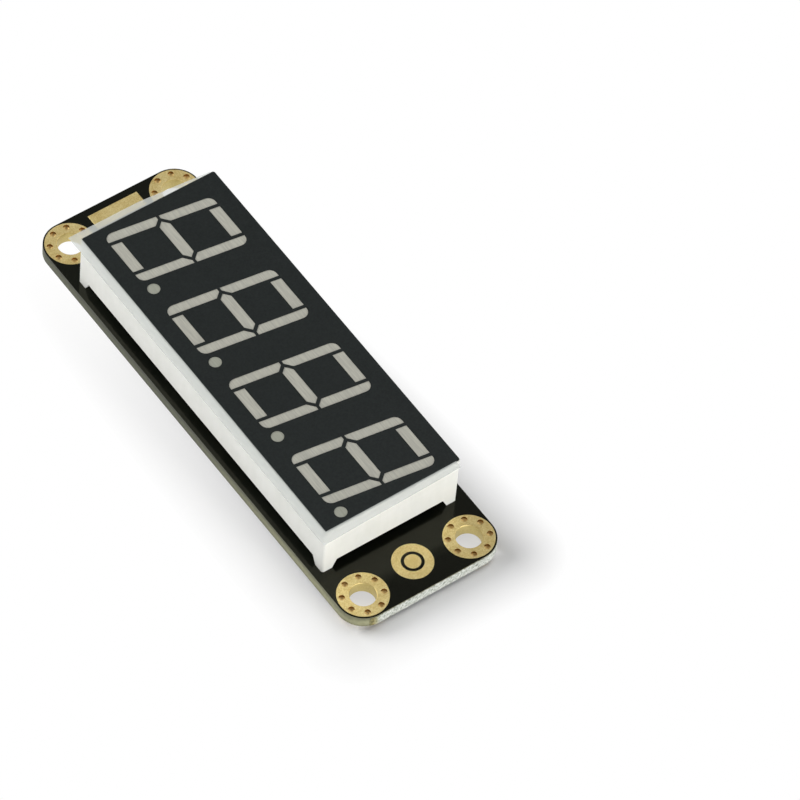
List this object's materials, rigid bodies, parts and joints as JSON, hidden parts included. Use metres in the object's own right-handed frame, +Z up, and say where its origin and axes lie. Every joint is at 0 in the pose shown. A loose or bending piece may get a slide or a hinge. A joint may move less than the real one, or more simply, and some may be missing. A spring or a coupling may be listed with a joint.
{
  "type": "seven segment display module",
  "caption": "Slanted-digit seven segment display in a white housing on a narrow black circuit board with plated corner mounting holes and a cable socket underneath.",
  "frame": {"origin": "centre of the four mounting holes, on the underside of the circuit board", "axes": "+Z up, out of the display's face; +Y along the board, towards the end with the gold bar and the socket's mouth; +X across the board, towards the tops of the digits"},
  "size_m": [0.0216, 0.067, 0.0152],
  "materials": {
    "board": "satin black solder mask on glass-fibre laminate",
    "gold_plating": "thin matt gold plating on copper",
    "white_plastic": "moulded white polycarbonate",
    "black_ink": "screen printed black",
    "milky_resin": "milky epoxy with a fine brushed skin",
    "clear_film": "clear protective film",
    "substrate": "white laminate",
    "led_die": "sawn crystal",
    "potting": "cast milky resin",
    "tin_plate": "matt tin plating",
    "solder": "bright solder",
    "socket_plastic": "moulded natural nylon",
    "contact_metal": "tinned brass",
    "chip_resin": "moulded black epoxy",
    "resistor_ceramic": "black glaze on ceramic",
    "capacitor_ceramic": "bare tan ceramic"
  },
  "bodies": {
    "root": {"circuit_board": "board", "ring_far_left": "gold_plating", "ring_far_right": "gold_plating", "ring_near_left": "gold_plating", "ring_near_right": "gold_plating", "via_plugs": "gold_plating", "gold_bar": "gold_plating", "gold_target_mark": "gold_plating", "display_housing": "white_plastic", "black_face": "black_ink", "segment_fill": "milky_resin", "protective_film": "clear_film", "led_substrate": "substrate", "led_dice": "led_die", "back_potting": "potting", "pins_left": "tin_plate", "pins_right": "tin_plate", "pin_pads_left": "gold_plating", "pin_pads_right": "gold_plating", "pin_solder_left": "solder", "pin_solder_right": "solder", "socket_housing": "socket_plastic", "socket_contacts": "contact_metal", "socket_tabs": "tin_plate", "chip_body": "chip_resin", "chip_leads": "tin_plate", "resistor_bodies": "resistor_ceramic", "resistor_caps": "tin_plate", "capacitor_bodies": "capacitor_ceramic", "capacitor_caps": "tin_plate", "component_pads": "gold_plating", "component_solder": "solder"}
  },
  "joints": []
}
